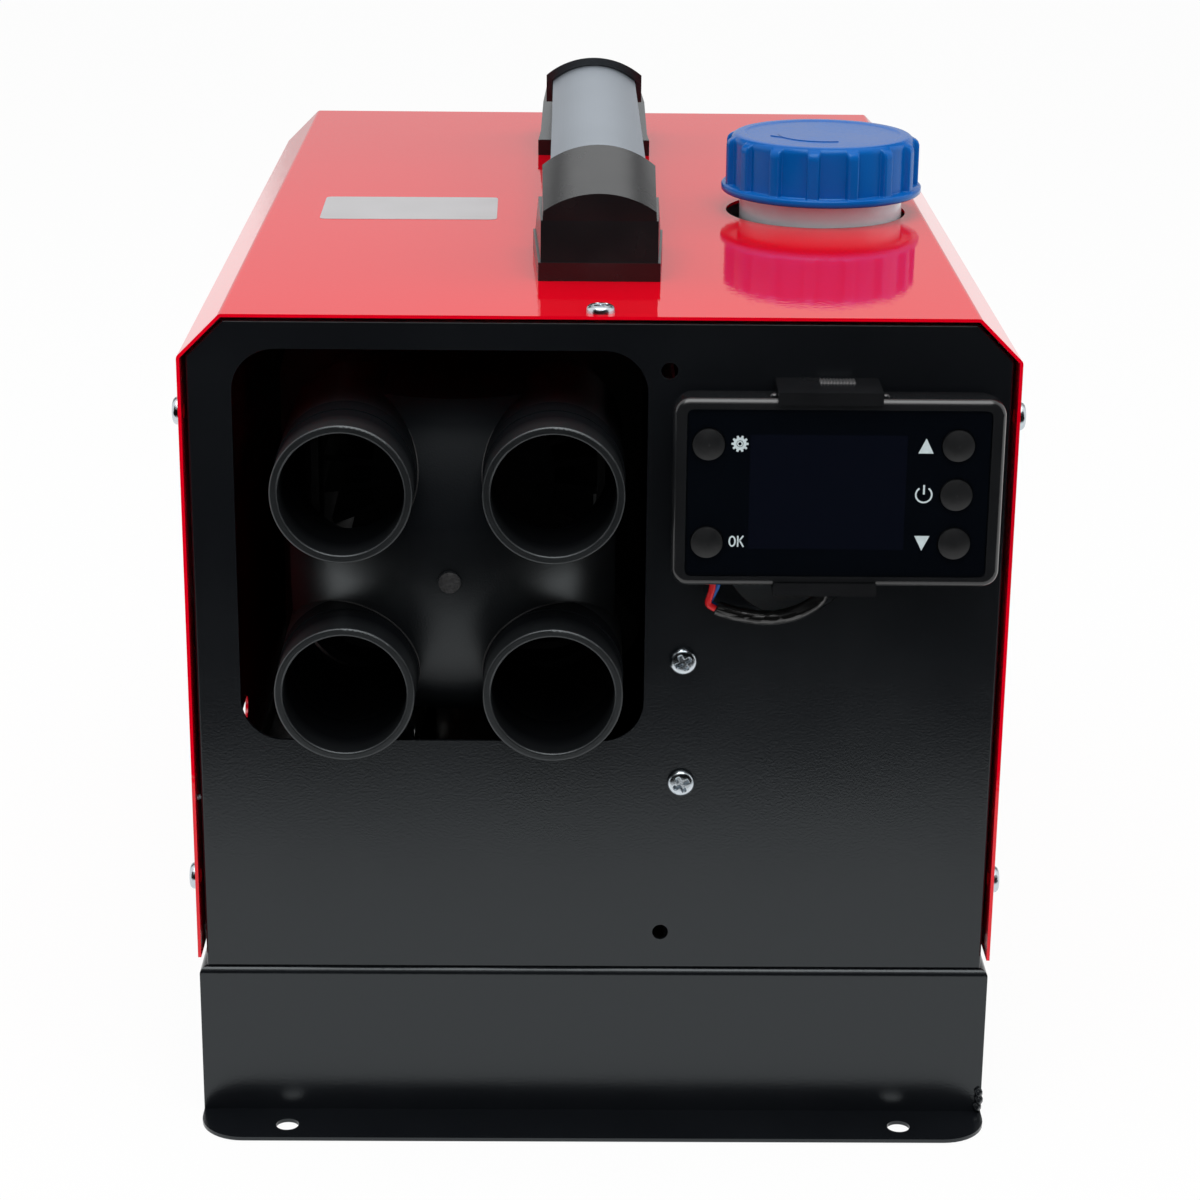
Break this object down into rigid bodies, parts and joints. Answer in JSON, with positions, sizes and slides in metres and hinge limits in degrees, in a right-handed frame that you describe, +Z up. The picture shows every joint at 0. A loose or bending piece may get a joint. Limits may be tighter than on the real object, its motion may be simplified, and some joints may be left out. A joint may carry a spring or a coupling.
{
  "type": "parking heater",
  "caption": "Portable diesel air heater in a folded sheet case with a top handle, filler cap, front controller and a hood of round warm-air outlets.",
  "frame": {"origin": "on the floor, at the middle of the four foot holes", "axes": "+Z up, -Y out of the outlets, +X to the right of someone who faces them"},
  "size_m": [0.2546, 0.4046, 0.2972],
  "materials": {
    "red_enamel": "gloss",
    "black_powder": "satin powder coat",
    "black_plastic": "satin moulded",
    "hood_plastic": "fine matt grain",
    "shell_plastic": "matt moulded",
    "grip_aluminium": "satin anodised",
    "cast_aluminium": "as cast",
    "shield_aluminium": "mill",
    "burner_steel": "heat-resisting steel",
    "zinc": "bright zinc plate",
    "fitting_brass": "turned",
    "black_rubber": "matt",
    "sleeve_rubber": "glossy sleeve",
    "tank_plastic": "translucent white",
    "filter_plastic": "clear",
    "line_plastic": "translucent tube",
    "cap_plastic": "satin moulded",
    "bezel_plastic": "gloss",
    "window_plastic": "mirror gloss",
    "display_glass": "unlit display",
    "circuit_board": "solder mask",
    "button_plastic": "fine matt",
    "wire_red_plastic": "gloss",
    "wire_blue_plastic": "gloss"
  },
  "bodies": {
    "casing": {"base_tray": "black_powder", "burner_tube": "burner_steel", "combustion_air_pipe": "cast_aluminium", "combustion_housing": "cast_aluminium", "control_board": "circuit_board", "controller_bezel": "bezel_plastic", "controller_board": "circuit_board", "controller_bracket": "black_plastic", "controller_cable": "sleeve_rubber", "controller_case": "black_plastic", "controller_window": "window_plastic", "cover": "red_enamel", "cover_screws": "zinc", "display_module": "display_glass", "exhaust_pipe": "burner_steel", "floor_screws": "zinc", "front_panel": "black_powder", "fuel_filter": "filter_plastic", "fuel_fitting": "fitting_brass", "fuel_line_feed": "line_plastic", "fuel_line_link": "line_plastic", "fuel_line_supply": "line_plastic", "fuel_pump": "zinc", "fuel_tank": "tank_plastic", "glow_plug": "burner_steel", "handle_front_mount": "black_plastic", "handle_grip": "grip_aluminium", "handle_rear_mount": "black_plastic", "handle_screws": "zinc", "harness_plug": "black_plastic", "heat_exchanger": "cast_aluminium", "heat_shield": "shield_aluminium", "heater_bracket": "black_powder", "heater_lower_shell": "shell_plastic", "heater_upper_shell": "shell_plastic", "intake_grille": "black_plastic", "motor_bearings": "zinc", "motor_can": "zinc", "mount_gasket": "black_rubber", "mount_nuts": "zinc", "outlet_collars": "hood_plastic", "outlet_hood": "hood_plastic", "overheat_sensor": "black_plastic", "panel_screws": "zinc", "pump_clamp": "black_rubber", "rear_gland": "black_rubber", "rear_panel": "black_powder", "wire_blue": "wire_blue_plastic", "wire_red": "wire_red_plastic"},
    "cap": {"fuel_cap": "cap_plastic"},
    "seal": {"cap_seal": "black_rubber"},
    "rotor": {"rotor_shaft": "burner_steel", "combustion_impeller": "shell_plastic", "blower_wheel": "shell_plastic"},
    "button_settings": {"button_settings": "button_plastic"},
    "button_ok": {"button_ok": "button_plastic"},
    "button_up": {"button_up": "button_plastic"},
    "button_power": {"button_power": "button_plastic"},
    "button_down": {"button_down": "button_plastic"}
  },
  "joints": [
    {"name": "cap_lift", "type": "slide", "parent": "casing", "child": "seal", "axis": [0, 0, 1], "range_m": [0, 0.01205]},
    {"name": "cap_turn", "type": "hinge", "parent": "seal", "child": "cap", "pos_m": [0.0773, -0.0217, 0.28], "axis": [0, 0, 1], "range_deg": [0, 720]},
    {"name": "rotor_spin", "type": "hinge", "parent": "casing", "child": "rotor", "pos_m": [-0.0446, 0.12, 0.1819], "axis": [0, 1, 0], "continuous": true},
    {"name": "press_settings", "type": "slide", "parent": "casing", "child": "button_settings", "axis": [0, 1, 0], "range_m": [0, 0.001], "stiffness_N_per_m": 800},
    {"name": "press_ok", "type": "slide", "parent": "casing", "child": "button_ok", "axis": [0, 1, 0], "range_m": [0, 0.001], "stiffness_N_per_m": 800},
    {"name": "press_up", "type": "slide", "parent": "casing", "child": "button_up", "axis": [0, 1, 0], "range_m": [0, 0.001], "stiffness_N_per_m": 800},
    {"name": "press_power", "type": "slide", "parent": "casing", "child": "button_power", "axis": [0, 1, 0], "range_m": [0, 0.001], "stiffness_N_per_m": 800},
    {"name": "press_down", "type": "slide", "parent": "casing", "child": "button_down", "axis": [0, 1, 0], "range_m": [0, 0.001], "stiffness_N_per_m": 800}
  ],
  "couplings": [
    {"joint": "cap_lift", "follows": "cap_turn", "m_per_rad": 0.00095493}
  ]
}
